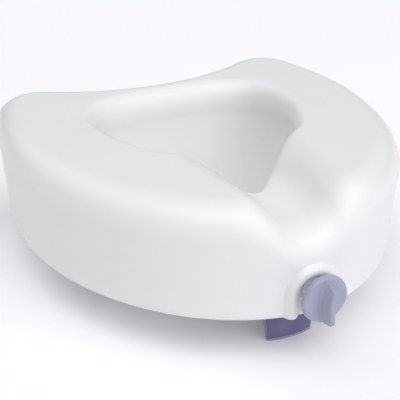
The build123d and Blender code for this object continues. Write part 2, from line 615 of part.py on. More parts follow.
# ---------------------------------------------------------------- rear hooks
def rear_hook(side):
    x0, x1 = side * HOOK_X - HOOK_W / 2, side * HOOK_X + HOOK_W / 2
    plate_top = RECESSED + HOOK_T
    lip_top = BLADE_BOTTOM + HOOK_LIP_T
    hook = box(x0, x1, HOOK_FRONT, HOOK_REAR, RECESSED, plate_top)
    hook += box(x0, x1, HOOK_FRONT, HOOK_FRONT + HOOK_LEG_T, BLADE_BOTTOM, plate_top)
    hook += box(x0, x1, HOOK_FRONT, HOOK_FRONT + HOOK_LEG_T + HOOK_LIP, BLADE_BOTTOM, lip_top)
    rounded = hook.edges().filter_by(Axis.X).filter_by(lambda e: e.center().Z < lip_top - 1)
    hook = fillet(rounded, HOOK_EDGE_R)
    inside = hook.edges().filter_by(Axis.X).filter_by(
        lambda e: abs(e.center().Y - HOOK_FRONT - HOOK_LEG_T) < 0.1)
    hook = fillet(inside, HOOK_INNER_R)
    for x, y in HOOK_SCREWS:
        if x * side > 0:
            hook -= post(x, y, RECESSED - 1, HEAD_SEAT, WASHER_R + GAP)
            hook -= post(x, y, RECESSED, plate_top + 1, SCREW_R + FIT)
    return hook


def hook_pad(side):
    z = BLADE_BOTTOM + HOOK_LIP_T
    half = HOOK_W / 2 - HOOK_PAD_INSET
    y0 = HOOK_FRONT + HOOK_LEG_T
    return box(side * HOOK_X - half, side * HOOK_X + half, y0 + HOOK_INNER_R + SLACK, y0 + HOOK_LIP - 1,
               z + FIT, z + HOOK_PAD_T)


def hook_screws():
    screws = []
    for x, y in HOOK_SCREWS:
        head_top = HEAD_SEAT - WASHER_T - FIT
        screw = post(x, y, head_top - SCREW_HEAD_T, head_top, SCREW_HEAD_R)
        screw += post(x, y, head_top, head_top + SCREW_L + 4, SCREW_R)
        screws.append(screw - drive_slot(x, y, SLOT_HALF, SLOT_W / 2, head_top - SCREW_HEAD_T))
    return Compound(children=screws)


def hook_washers():
    washers = []
    for x, y in HOOK_SCREWS:
        ring_z = HEAD_SEAT - WASHER_T
        washers.append(post(x, y, ring_z, HEAD_SEAT - FIT / 2, WASHER_R)
                       - post(x, y, ring_z - 1, HEAD_SEAT + 1, SCREW_R + SLACK))
    return Compound(children=washers)


# ---------------------------------------------------------------- write every sub-part
def main():
    nodes = {
        "seat_body": seat_body(),
        "vent_plug": vent_plug(),
        "lock_knob": lock_knob(),
        "knob_pin": knob_pin(),
        "lock_screw": lock_screw(),
        "front_bushing": front_bushing(),
        "thrust_washer": thrust_washer(),
        "clip_washer": clip_washer(),
        "retaining_clip": retaining_clip(),
        "tip_bushing": tip_bushing(),
        "lock_housing": lock_housing(),
        "housing_screws": housing_screws(),
        "clamp_bracket": clamp_bracket(),
        "clamp_pad": clamp_pad(),
        "clamp_nut": clamp_nut(),
        "nut_keeper": nut_keeper(),
        "keeper_screws": keeper_screws(),
        "rear_hook_left": rear_hook(-1),
        "rear_hook_right": rear_hook(1),
        "hook_pad_left": hook_pad(-1),
        "hook_pad_right": hook_pad(1),
        "hook_screws": hook_screws(),
        "hook_washers": hook_washers(),
    }
    for name, x, y, turn in rim_pad_places():
        nodes[name] = rim_pad_solid(x, y, turn, RIM_PAD_POCKET - RIM_PAD_T, RIM_PAD_POCKET - FIT, 0)
    os.makedirs("parts", exist_ok=True)
    for name, shape in nodes.items():
        export_step(shape, f"parts/{name}.step")


main()
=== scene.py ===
import json
import math

import bmesh
import bpy
import numpy as np
from mathutils import Matrix, Vector


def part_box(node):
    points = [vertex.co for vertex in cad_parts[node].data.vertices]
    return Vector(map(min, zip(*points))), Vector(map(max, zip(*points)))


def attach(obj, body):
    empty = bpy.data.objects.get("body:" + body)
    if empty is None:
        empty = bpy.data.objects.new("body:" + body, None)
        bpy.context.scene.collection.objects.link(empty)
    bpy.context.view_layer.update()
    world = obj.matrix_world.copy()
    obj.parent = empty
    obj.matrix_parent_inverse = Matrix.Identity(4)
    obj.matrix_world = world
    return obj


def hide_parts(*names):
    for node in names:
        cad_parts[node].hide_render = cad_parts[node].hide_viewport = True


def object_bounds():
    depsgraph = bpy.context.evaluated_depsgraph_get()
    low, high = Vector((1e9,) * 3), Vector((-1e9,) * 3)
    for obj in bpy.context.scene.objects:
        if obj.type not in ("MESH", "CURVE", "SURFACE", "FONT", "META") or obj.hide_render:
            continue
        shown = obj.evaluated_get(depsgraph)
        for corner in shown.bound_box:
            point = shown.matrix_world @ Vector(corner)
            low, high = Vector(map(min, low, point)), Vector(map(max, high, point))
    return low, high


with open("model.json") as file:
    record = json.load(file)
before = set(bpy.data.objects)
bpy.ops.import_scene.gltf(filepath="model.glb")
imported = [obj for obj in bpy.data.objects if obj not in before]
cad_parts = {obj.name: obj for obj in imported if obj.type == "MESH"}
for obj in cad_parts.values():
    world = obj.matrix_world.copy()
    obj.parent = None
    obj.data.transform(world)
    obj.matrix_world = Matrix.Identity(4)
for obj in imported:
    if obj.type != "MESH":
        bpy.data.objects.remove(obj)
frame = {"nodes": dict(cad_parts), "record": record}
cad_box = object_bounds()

# Raised toilet seat with a front rim lock.  Metres, in the CAD frame: +Z up, -Y the front.

# ---------------------------------------------------------------- sizes of the moulded body
TOP_Z = 0.119             # flat top above the rest plane
HALF_WIDTH = 0.215
FRONT_Y, WIDE_Y, REAR_Y = -0.196, 0.063, 0.1795
FRONT_POWER = 1.94        # the front half is a superellipse of this power
SIDE_R = 0.433            # radius of the sides behind the widest line
CORNER_Y, CORNER_R = 0.170, 0.050
TOP_R = 0.025             # rounding of the outer top edge at the rear
TOP_R_FRONT, TOP_R_FRONT_Y, TOP_R_FRONT_SPAN = 0.0055, 0.10, 0.12     # what the front adds, and where
DIP_TOP_R, DIP_TOP_X, DIP_TOP_SPAN = 0.0075, 0.046, 0.034    # extra rounding across the dip, to this x
RIM_DROP, RIM_DROP_Y, RIM_DROP_SPAN = 0.65, -0.02, 0.08     # the rear rim's rounding is taller than wide
RIM_TIP_R, RIM_MID_R, RIM_REAR_R = 0.008, 0.0135, 0.020
DRAFT_FRONT, DRAFT_SIDE = 0.001, 0.006        # the outer wall leans in by this down to its foot
FUNNEL_FRONT, FUNNEL_REAR, LEAN_POWER = 0.005, 0.018, 1.25    # and the inner wall into the opening
SKIRT_DEPTH, SKIRT_T, SKIRT_TIP_T, SKIRT_TIP_R = 0.026, 0.009, 0.006, 0.002
FOOT_R = 0.004            # rounding of the bottom outer edge
# Right half of the opening's plan under its rounded rim, from the front to the rear. The first
# five points and the dip's sizes come from a program's fit to the outline in the photograph.
OPENING = [(0, -0.0794), (0.0187, -0.0675), (0.0553, -0.0379), (0.0793, -0.0194), (0.097, 0.0159),
           (0.106, 0.052), (0.105, 0.088), (0.090, 0.115), (0.055, 0.129), (0, 0.132)]
# Front dip: a channel whose sizes are given at DIP_Y, and change along y up to DIP_SPAN from there.
# It fades in over DIP_FADE, from y = 0 to the front.
DIP_Y, DIP_SPAN, DIP_FADE = -0.140, (-0.060, 0.120), 0.030
DIP_DEPTH, DIP_DEPTH_RATE = 0.0346, 0.072     # depth under the flat top, and its change along y
DIP_FLOOR, DIP_FLOOR_RATE = 0.0062, -0.077    # half width of its floor
DIP_BANK, DIP_BANK_RATE = 0.0582, 0.182       # half width where its banks reach the flat top
DIP_BANK_TURN, DIP_FLOOR_TURN = 0.26, 0.13    # off the banks' rate and onto the floor's ahead of DIP_Y
PART_LINE_Z, PART_LINE_H = 0.0062, 0.0003     # the mould's parting line
PART_LINE_ROWS = [(0.0012, 0.0), (0.0006, 0.7), (0.0, 1.0), (-0.0006, 0.7), (-0.0012, 0.0)]
PART_LINE_GAP = 0.0010    # from the plain wall's last row to the line

ARCH_Z, ARCH_R = 0.0270, 0.0220              # arched rib around the knob
ARCH_WIDE, ARCH_PROUD = 0.0076, 0.0064
ARCH_CROWN, ARCH_FOOT = 2.2, 1.15             # powers that flatten its crown and round its feet
ARCH_BEHIND = -0.15                           # no rib behind this y

COLUMNS = 260             # columns of the body's mesh on each side of the centre line
COLUMN_POWER = 1.35       # they stand closer together at the front
INNER_ROWS, RIM_ROWS, TOP_ROWS, EDGE_ROWS, WALL_ROWS, FOOT_ROWS = 27, 15, 25, 41, 60, 7
EDGE_POWER = 0.8          # the rows of the outer top edge stand closer together near the wall
TANGENT_STEP = 0.003      # an outline's direction is taken over this length on either side
FRONT_POINTS, SIDE_POINTS, REAR_POINTS = 600, 60, 80     # points along the plan's outer outline
SPLINE_STEPS = 24         # points from one point of OPENING to the next
QUARTER_TURN = (30, 60, 90)                   # degrees round a small edge

KNOB_Z = 0.028
FLOOR_Z = cad_box[0][2]
# Degrees between faces up to which a piece shades smooth.
SMOOTH_BELOW, BODY_SMOOTH_BELOW, KNOB_SMOOTH_BELOW = 40.0, 32.0, 30.0
# Rounding a CAD mesh: vertices this near merge, faces this flat join, edges this sharp get round.
MERGE_WITHIN, FLAT_WITHIN, ROUND_FROM = 1e-6, 1.0, 32.0


# ---------------------------------------------------------------- mesh helpers
def new_object(name, data):
    obj = bpy.data.objects.new(name, data)
    bpy.context.scene.collection.objects.link(obj)
    return obj


def mesh_object(name, vertices, faces):
    mesh = bpy.data.meshes.new(name)
    mesh.from_pydata([tuple(v) for v in vertices], [], faces)
    mesh.validate()
    return new_object(name, mesh)


def face_outwards(obj):
    work = bmesh.new()
    work.from_mesh(obj.data)
    bmesh.ops.recalc_face_normals(work, faces=work.faces)
    work.to_mesh(obj.data)
    work.free()


def shade(obj, degrees):
    """Smooth shading, with edges sharper than the angle kept crisp."""
    obj.data.polygons.foreach_set("use_smooth", [True] * len(obj.data.polygons))
    obj.data.set_sharp_from_angle(angle=math.radians(degrees))


def rings_object(name, rings, closed=False):
    """Skin over rings of the same number of points: closed into a torus, or capped at both ends."""
    count, size = len(rings), len(rings[0])
    faces = []
    for r in range(count if closed else count - 1):
        for c in range(size):
            a, b = r * size, (r + 1) % count * size
            faces.append((a + c, a + (c + 1) % size, b + (c + 1) % size, b + c))
    if not closed:
        faces.append(tuple(range(size))[::-1])
        faces.append(tuple((count - 1) * size + c for c in range(size)))
    obj = mesh_object(name, np.concatenate(rings), faces)
    face_outwards(obj)
    return obj


def turned_ring(radius, y, steps):
    """Ring around the knob's axis; the radius is one number or one for each point."""
    a = np.linspace(0, 2 * math.pi, steps, endpoint=False)
    return np.stack([radius * np.cos(a), np.full(steps, y), KNOB_Z + radius * np.sin(a)], -1)


def lathe(name, profile, steps=96):
    """Turned piece around the knob's axis, from (radius, y) pairs."""
    return rings_object(name, [turned_ring(radius, y, steps) for radius, y in profile])


def join(name, objects):
    """One object out of several closed meshes."""
    work = bmesh.new()
    for obj in objects:
        work.from_mesh(obj.data)
        bpy.data.objects.remove(obj)
    mesh = bpy.data.meshes.new(name)
    work.to_mesh(mesh)
    work.free()
    return new_object(name, mesh)


def block(x0, x1, y0, y1, z0, z1):
    work = bmesh.new()
    middle = Vector(((x0 + x1) / 2, (y0 + y1) / 2, (z0 + z1) / 2))
    scale = Matrix.Diagonal((x1 - x0, y1 - y0, z1 - z0, 1))
    bmesh.ops.create_cube(work, size=1, matrix=Matrix.Translation(middle) @ scale)
    mesh = bpy.data.meshes.new("block")
    work.to_mesh(mesh)
    work.free()
    return new_object("block", mesh)


def slot_ring(x, y, turn, length, width, grow, z, steps=14):
    """Outline of a round-ended slot."""
    r = width / 2 + grow
    pts = []
    for side in (1, -1):
        a = np.linspace(-math.pi / 2, math.pi / 2, steps)
        pts.append(np.stack([side * ((length - width) / 2 + r * np.cos(a)), side * r * np.sin(a)], -1))
    pts = np.concatenate(pts)
    c, s = math.cos(turn), math.sin(turn)
    return np.stack([x + pts[:, 0] * c - pts[:, 1] * s, y + pts[:, 0] * s + pts[:, 1] * c,
                     np.full(len(pts), z)], -1)


def boolean(obj, cutter, operation):
    """Joins a second object to a mesh or takes it away, and removes the second object."""
    change = obj.modifiers.new("boolean", "BOOLEAN")
    change.object = cutter
    change.operation = operation
    change.solver = "EXACT"
    bpy.context.view_layer.update()
    graph = bpy.context.evaluated_depsgraph_get()
    mesh = bpy.data.meshes.new_from_object(obj.evaluated_get(graph))
    obj.modifiers.clear()
    obj.data = mesh
    bpy.data.objects.remove(cutter)


def softened(node, name, width):
    """A copy of a CAD node's mesh with its edges rounded, to stand for the node."""
    work = bmesh.new()
    work.from_mesh(frame["nodes"][node].data)
    bmesh.ops.remove_doubles(work, verts=work.verts, dist=MERGE_WITHIN)
    bmesh.ops.dissolve_limit(work, angle_limit=math.radians(FLAT_WITHIN), verts=work.verts,
                             edges=work.edges)
    mesh = bpy.data.meshes.new(name)
    work.to_mesh(mesh)
    work.free()
    obj = new_object(name, mesh)
    bevel = obj.modifiers.new("bevel", "BEVEL")
    bevel.width = width
    bevel.segments = 2
    bevel.limit_method = "ANGLE"
    bevel.angle_limit = math.radians(ROUND_FROM)
    bevel.use_clamp_overlap = True
    bpy.context.view_layer.update()
    graph = bpy.context.evaluated_depsgraph_get()
    obj.data = bpy.data.meshes.new_from_object(obj.evaluated_get(graph))
    obj.modifiers.clear()
    shade(obj, SMOOTH_BELOW)
    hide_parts(node)
    return obj


# ---------------------------------------------------------------- materials
EDGE_HIGHLIGHT_FROM_TO = 0.52, 0.62     # pointiness over which a convex edge turns paler, as a painted highlight
ROUGH_FINER = 3.1             # the roughness blotches are this much finer than the colour's
GRAIN_DEPTH, BRUSH_DEPTH = 0.0004, 0.0001
BRUSH_LONG, BRUSH_SHORT = 90, 2500     # noise scales along and across the brushed lines
BRUSH_TONES, BRUSH_ROUGH, BRUSH_BUMP = (0.82, 1.12), (-0.08, 0.12), 0.12
EDGE_HIGHLIGHT_GAIN, EDGE_HIGHLIGHT_LIFT = 1.35, 0.05      # the painted edge highlight's colour, from the plain one


def material(name, color, roughness, spread=0.03, blotch=25.0, grain=1200.0, bump=0.05,
             rough_spread=0.06, edge_highlight=0.0, specular=0.5):
    """Moulded surface: colour and roughness vary over blotches, with a fine grain as bump, and convex edges
    can get a painted highlight.
    """
    mat = bpy.data.materials.new(name)
    mat.use_nodes = True
    nodes, links = mat.node_tree.nodes, mat.node_tree.links
    shader = nodes["Principled BSDF"]
    shader.inputs["Specular IOR Level"].default_value = specular
    place = nodes.new("ShaderNodeTexCoord")

    def noise(scale, detail):
        node = nodes.new("ShaderNodeTexNoise")
        node.inputs["Scale"].default_value = scale
        node.inputs["Detail"].default_value = detail
        links.new(place.outputs["Object"], node.inputs["Vector"])
        return node.outputs["Fac"]

    def mapped(value, low, high, start=0.3, stop=0.7):
        node = nodes.new("ShaderNodeMapRange")
        node.interpolation_type = "SMOOTHSTEP"
        node.inputs["From Min"].default_value, node.inputs["From Max"].default_value = start, stop
        node.inputs["To Min"].default_value, node.inputs["To Max"].default_value = low, high
        links.new(value, node.inputs["Value"])
        return node.outputs["Result"]

    def mixed(factor, first, second):
        node = nodes.new("ShaderNodeMix")
        node.data_type = "RGBA"
        links.new(factor, node.inputs["Factor"])
        for socket, value in ((node.inputs["A"], first), (node.inputs["B"], second)):
            if isinstance(value, tuple):
                socket.default_value = (*value, 1.0)
            else:
                links.new(value, socket)
        return node.outputs["Result"]

    dark = tuple(max(c * (1 - spread), 0.0) for c in color)
    light = tuple(min(c * (1 + spread), 1.0) for c in color)
    tone = mixed(mapped(noise(blotch, 3.0), 0.0, 1.0), dark, light)
    # Painted highlight: edges that pointiness finds convex turn paler.
    if edge_highlight:
        pale = tuple(min(c * EDGE_HIGHLIGHT_GAIN + EDGE_HIGHLIGHT_LIFT, 1.0) for c in color)
        geometry = nodes.new("ShaderNodeNewGeometry")
        edge = mapped(geometry.outputs["Pointiness"], 0.0, edge_highlight, *EDGE_HIGHLIGHT_FROM_TO)
        tone = mixed(edge, tone, pale)
    links.new(tone, shader.inputs["Base Color"])
    rough = mapped(noise(blotch * ROUGH_FINER, 4.0), roughness - rough_spread, roughness + rough_spread)
    links.new(rough, shader.inputs["Roughness"])
    relief = nodes.new("ShaderNodeBump")
    relief.inputs["Strength"].default_value = bump
    relief.inputs["Distance"].default_value = GRAIN_DEPTH
    links.new(noise(grain, 2.0), relief.inputs["Height"])
    links.new(relief.outputs["Normal"], shader.inputs["Normal"])
    return mat


def brushed(name, color, roughness, across="Y"):
    """Turned or drawn metal: fine lines across one axis."""
    mat = bpy.data.materials.new(name)
    mat.use_nodes = True
    nodes, links = mat.node_tree.nodes, mat.node_tree.links
    shader = nodes["Principled BSDF"]
    shader.inputs["Metallic"].default_value = 1.0
    place = nodes.new("ShaderNodeTexCoord")
    stretch = nodes.new("ShaderNodeMapping")
    scale = [BRUSH_LONG] * 3
    scale["XY".index(across)] = BRUSH_SHORT
    stretch.inputs["Scale"].default_value = scale
    links.new(place.outputs["Object"], stretch.inputs["Vector"])
    lines = nodes.new("ShaderNodeTexNoise")
    lines.inputs["Scale"].default_value = 1.0
    lines.inputs["Detail"].default_value = 2.0
    links.new(stretch.outputs["Vector"], lines.inputs["Vector"])
    tone = nodes.new("ShaderNodeMix")
    tone.data_type = "RGBA"
    tone.inputs["A"].default_value = (*[c * BRUSH_TONES[0] for c in color], 1.0)
    tone.inputs["B"].default_value = (*[min(c * BRUSH_TONES[1], 1.0) for c in color], 1.0)
    links.new(lines.outputs["Fac"], tone.inputs["Factor"])
    links.new(tone.outputs["Result"], shader.inputs["Base Color"])
    spread = nodes.new("ShaderNodeMapRange")
    spread.inputs["To Min"].default_value = roughness + BRUSH_ROUGH[0]
    spread.inputs["To Max"].default_value = roughness + BRUSH_ROUGH[1]
    links.new(lines.outputs["Fac"], spread.inputs["Value"])
    links.new(spread.outputs["Result"], shader.inputs["Roughness"])
    relief = nodes.new("ShaderNodeBump")
    relief.inputs["Strength"].default_value = BRUSH_BUMP
    relief.inputs["Distance"].default_value = BRUSH_DEPTH
    links.new(lines.outputs["Fac"], relief.inputs["Height"])
    links.new(relief.outputs["Normal"], shader.inputs["Normal"])
    return mat


# Some materials get a painted highlight of the given strength on their convex edges.
MATERIALS = {
    "white_hdpe": material("white_hdpe", (0.835, 0.840, 0.835), 0.335, spread=0.006, blotch=9.0,
                           grain=420.0, bump=0.02, rough_spread=0.03),
    "white_cap": material("white_cap", (0.80, 0.81, 0.81), 0.45, spread=0.02, blotch=60.0),
    "knob_violet": material("knob_violet", (0.368, 0.374, 0.500), 0.38, spread=0.035, blotch=55.0,
                            grain=1500.0, bump=0.04, edge_highlight=0.15),
    "bracket_violet": material("bracket_violet", (0.330, 0.312, 0.480), 0.42, spread=0.05, blotch=60.0,
                               grain=1500.0, bump=0.06, edge_highlight=0.6),
    "housing_grey": material("housing_grey", (0.52, 0.53, 0.55), 0.50, spread=0.04, blotch=45.0, bump=0.08,
                             edge_highlight=0.3),
    "hook_grey": material("hook_grey", (0.37, 0.37, 0.46), 0.48, spread=0.04, blotch=50.0, bump=0.08,
                          edge_highlight=0.4),
    "acetal": material("acetal", (0.88, 0.88, 0.87), 0.38, spread=0.02, blotch=80.0),
    "washer_nylon": material("washer_nylon", (0.84, 0.84, 0.83), 0.45, spread=0.03, blotch=120.0),
    "pad_rubber": material("pad_rubber", (0.179, 0.168, 0.306), 0.62, spread=0.07, blotch=70.0,
                           grain=2200.0, bump=0.16, specular=0.35),
    "rim_rubber": material("rim_rubber", (0.050, 0.050, 0.055), 0.70, spread=0.12, blotch=90.0,
                           grain=2400.0, bump=0.20, specular=0.35),
    "screw_steel": brushed("screw_steel", (0.62, 0.62, 0.63), 0.30),
    "pin_steel": brushed("pin_steel", (0.56, 0.56, 0.57), 0.28, across="X"),
    "clip_steel": brushed("clip_steel", (0.22, 0.22, 0.24), 0.35),
    "washer_steel": brushed("washer_steel", (0.62, 0.62, 0.62), 0.32),
    "keeper_steel": brushed("keeper_steel", (0.56, 0.56, 0.58), 0.34, across="X"),
    "brass_nut": brushed("brass_nut", (0.72, 0.52, 0.22), 0.30),
    "zinc_screws": brushed("zinc_screws", (0.68, 0.68, 0.69), 0.30),
}


def finish_piece(obj, slot_name, body=None):
    """Gives a piece its material, and a built piece also its body."""
    obj.data.materials.clear()
    obj.data.materials.append(MATERIALS[slot_name])
    if body:
        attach(obj, body)


# ---------------------------------------------------------------- body outlines
def arc(cx, cy, r, a0, a1, n):
    a = np.linspace(a0, a1, n)
    return np.stack([cx + r * np.cos(a), cy + r * np.sin(a)], -1)


def outer_outline():
    """Right half of the plan: superellipse front, side arc, rear corner, hollow rear arc, all tangent."""
    a = np.linspace(0, math.pi / 2, FRONT_POINTS)
    power = 2 / FRONT_POWER
    front = np.stack([HALF_WIDTH * np.sin(a) ** power,
                      WIDE_Y - (WIDE_Y - FRONT_Y) * np.clip(np.cos(a), 0, 1) ** power], -1)
    side_x = HALF_WIDTH - SIDE_R
    corner_start = math.asin((CORNER_Y - WIDE_Y) / (SIDE_R - CORNER_R))
    corner_x = side_x + (SIDE_R - CORNER_R) * math.cos(corner_start)
    side = arc(side_x, WIDE_Y, SIDE_R, 0, corner_start, SIDE_POINTS)
    k = CORNER_R - REAR_Y
    rear_cy = (corner_x ** 2 + CORNER_Y ** 2 - k * k) / (2 * (CORNER_Y + k))
    corner_end = math.atan2(rear_cy - CORNER_Y, -corner_x)
    corner = arc(corner_x, CORNER_Y, CORNER_R, corner_start, corner_end, SIDE_POINTS)
    rear_start = math.atan2(CORNER_Y - rear_cy, corner_x)
    rear = arc(0, rear_cy, rear_cy - REAR_Y, rear_start, -math.pi / 2, REAR_POINTS)
    return np.concatenate([front, side[1:], corner[1:], rear[1:]])


def opening_outline():
    """Right half of the opening: a Catmull-Rom curve, level at both ends."""
    p = np.array(OPENING, float)
    p = np.concatenate([p[1:2] * (-1, 1), p, p[-2:-1] * (-1, 1)])
    t = np.linspace(0, 1, SPLINE_STEPS, endpoint=False)[:, None]
    parts = []
    for a, b, c, d in zip(p, p[1:], p[2:], p[3:]):
        parts.append(0.5 * (2 * b + (c - a) * t + (2 * a - 5 * b + 4 * c - d) * t ** 2
                            + (3 * b - a - 3 * c + d) * t ** 3))
    return np.concatenate(parts + [p[-2:-1]])


def walk(curve, s):
    """Points and outward normals of a half outline at fractions of its length."""
    at = np.r_[0, np.cumsum(np.hypot(*np.diff(curve, axis=0).T))]

    def place(q):
        q = np.clip(q, 0, at[-1])
        return np.stack([np.interp(q, at, curve[:, k]) for k in (0, 1)], -1)

    want = s * at[-1]
    along = place(want + TANGENT_STEP) - place(want - TANGENT_STEP)
    along[0], along[-1] = (1, 0), (-1, 0)
    along /= np.hypot(along[:, 0], along[:, 1])[:, None]
    return place(want), np.stack([along[:, 1], -along[:, 0]], -1)


def smooth(t):
    t = np.clip(t, 0, 1)
    return t * t * (3 - 2 * t)


def top_height(plan):
    """Height of the top at plan points: flat, with the channel dipped into its front."""
    x, y = np.abs(plan[:, 0]), plan[:, 1]
    along = np.clip(y - DIP_Y, *DIP_SPAN)
    ahead = np.minimum(along, 0)
    bank = DIP_BANK + DIP_BANK_RATE * along - DIP_BANK_TURN * ahead
    flat = DIP_FLOOR + DIP_FLOOR_RATE * along + DIP_FLOOR_TURN * ahead
    u = np.clip((bank - x) / (bank - flat), 0, 1)
    across = np.where(u < 0.5, 2 * u * u, 1 - 2 * (1 - u) ** 2)
    return TOP_Z - (DIP_DEPTH + DIP_DEPTH_RATE * along) * across * smooth(-y / DIP_FADE)


def rib(x, z):
    """How far the arched rib stands out of the front wall."""
    middle = np.where(z > ARCH_Z, np.hypot(x, z - ARCH_Z), np.abs(x))
    u = np.clip(np.abs(middle - ARCH_R) / ARCH_WIDE, 0, 1)
    return ARCH_PROUD * (1 - u ** ARCH_CROWN) ** ARCH_FOOT


def body_rows():
    """Rows of the right half: skirt, inner wall, rim, top, outer wall, foot and underside."""
    s = np.linspace(0, 1, COLUMNS + 1) ** COLUMN_POWER
    outer, away = walk(outer_outline(), s)
    inner, into = walk(opening_outline(), s)
    y = inner[:, 1]
    y0, y1 = OPENING[0][1], OPENING[-1][1]
    rim_r = (RIM_TIP_R + (RIM_MID_R - RIM_TIP_R) * smooth((y - y0) / -y0)
             + (RIM_REAR_R - RIM_MID_R) * smooth(y / y1))
    funnel = FUNNEL_FRONT + (FUNNEL_REAR - FUNNEL_FRONT) * smooth((y - y0) / (y1 - y0))
    drop = rim_r * (1 + RIM_DROP * smooth((y - RIM_DROP_Y) / RIM_DROP_SPAN))
    wall_top = top_height(inner) - drop
    dipped = smooth(1 - (outer[:, 0] - DIP_TOP_X) / DIP_TOP_SPAN) * (outer[:, 1] < 0)
    fronted = smooth((TOP_R_FRONT_Y - outer[:, 1]) / TOP_R_FRONT_SPAN)
    top_r = TOP_R + TOP_R_FRONT * fronted + DIP_TOP_R * dipped
    rows = []

    def put(plan, z):
        z = np.broadcast_to(np.asarray(z, float), (len(plan),))
        rows.append(np.concatenate([plan, z[:, None]], 1))

    def inner_at(z, offset=0.0):
        lean = funnel * np.maximum((wall_top - z) / wall_top, 0) ** LEAN_POWER
        return inner + into * np.reshape(offset - lean, (-1, 1))

    bottom = -SKIRT_DEPTH + SKIRT_TIP_R
    for i in range(INNER_ROWS):
        z = bottom + (wall_top - bottom) * i / (INNER_ROWS - 1)
        put(inner_at(z), z)
    for a in np.radians(np.linspace(0, 90, RIM_ROWS))[1:]:
        plan = inner + into * (rim_r * (1 - math.cos(a)))[:, None]
        put(plan, top_height(plan) - drop * (1 - math.sin(a)))
    rim_end, top_start = inner + into * rim_r[:, None], outer - away * top_r[:, None]
    for t in np.linspace(0, 1, TOP_ROWS)[1:-1]:
        plan = rim_end + (top_start - rim_end) * t
        put(plan, top_height(plan))
    for a in np.radians(90 * (1 - np.linspace(0, 1, EDGE_ROWS) ** EDGE_POWER)):
        plan = outer - away * (top_r * (1 - math.cos(a)))[:, None]
        z = top_height(plan) - top_r * (1 - math.sin(a))
        put(plan + away * rib_of(outer, z)[:, None], z)
    high = top_height(outer) - top_r
    draft = DRAFT_FRONT + (DRAFT_SIDE - DRAFT_FRONT) * np.abs(away[:, 0])
    line_top = PART_LINE_Z + PART_LINE_ROWS[0][0]

    def put_wall(z, proud):
        """One row of the outer wall, with the rib and the parting line standing out."""
        out = rib_of(outer, z) + proud - draft * (high - z) / high
        put(outer + away * out[:, None], z)

    for k in range(1, WALL_ROWS + 1):
        put_wall(high + (line_top + PART_LINE_GAP - high) * k / WALL_ROWS, 0.0)
    for rise, proud in PART_LINE_ROWS:
        put_wall(np.full(len(outer), PART_LINE_Z + rise), proud * PART_LINE_H)
    foot = outer - away * draft[:, None] + away * rib_of(outer, FOOT_R)[:, None]
    for a in np.radians(np.linspace(0, 90, FOOT_ROWS)):
        put(foot - away * FOOT_R * (1 - math.cos(a)), FOOT_R * (1 - math.sin(a)))
    put(inner_at(0.0, SKIRT_T), 0.0)
    put(inner_at(-0.5 * SKIRT_DEPTH, 0.5 * (SKIRT_T + SKIRT_TIP_T)), -0.5 * SKIRT_DEPTH)
    put(inner_at(bottom, SKIRT_TIP_T), bottom)
    for a in np.radians(QUARTER_TURN):
        edge = SKIRT_TIP_T - SKIRT_TIP_R * (1 - math.cos(a))
        put(inner_at(bottom, edge), bottom - SKIRT_TIP_R * math.sin(a))
    for a in np.radians(QUARTER_TURN[::-1]):
        put(inner_at(bottom, SKIRT_TIP_R * (1 - math.cos(a))), bottom - SKIRT_TIP_R * math.sin(a))
    return rows


def rib_of(outer, z):
    """The rib's standing out at one row of the outer wall."""
    on_front = outer[:, 1] < ARCH_BEHIND
    return rib(outer[:, 0], np.broadcast_to(z, (len(outer),))) * on_front


def seat_shell():
    right = np.array(body_rows())
    left = right[:, -2:0:-1] * (-1, 1, 1)
    rings = np.concatenate([right, left], 1)
    return rings_object("seat_shell", list(rings), closed=True)


# ---------------------------------------------------------------- pockets of the body
BELOW = -0.02             # the block cutters start at this height, under the rest plane
POCKET_GAP, HOOK_SINK = 0.0003, 0.00005     # room round a fitted piece, and over a hook's flange
HOUSING_POCKET = (-0.036, 0.036, -0.1843, -0.1085, BELOW, 0.0505)      # spans in x, y and z
FLANGE_POCKET = (-0.0493, 0.0493, -0.1723, -0.1157, BELOW, 0.00305)
PAD_POCKET_Z, VENT_POCKET_Z, VENT_POCKET_D = (-0.01, 0.0025), (-0.01, 0.00165), 0.0186
BUSH_SPOT = [(0.0136, -0.24), (0.0136, -0.1943), (0.0130, -0.1935)]    # (radius, y) round the knob's axis
SLEEVE_BORE = [(0.00905, -0.1945), (0.00905, -0.183)]


def around(node):
    """A block around a CAD node's plan, from below the body to a little above the node's top."""
    low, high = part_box(node)
    return block(low.x - POCKET_GAP, high.x + POCKET_GAP, low.y - POCKET_GAP, high.y + POCKET_GAP,
                 BELOW, high.z + HOOK_SINK)


RIM_PADS = [n for n in frame["nodes"] if n.startswith("rim_pad_")]
PAD_L, PAD_W = 0.044, 0.016
PAD_TIP = 0.0004          # a pad's direction comes from its points this near to its ends


def pad_place(node):
    """Middle and direction of a rim pad, from its CAD mesh."""
    points = np.array([v.co[:2] for v in frame["nodes"][node].data.vertices])
    middle = (points.min(0) + points.max(0)) / 2
    spread = points - middle
    ends = spread[np.hypot(*spread.T) > PAD_L / 2 - PAD_TIP]
    ends = ends * np.sign(ends @ ends[0])[:, None]
    along = ends.mean(0)
    return middle[0], middle[1], math.atan2(along[1], along[0])


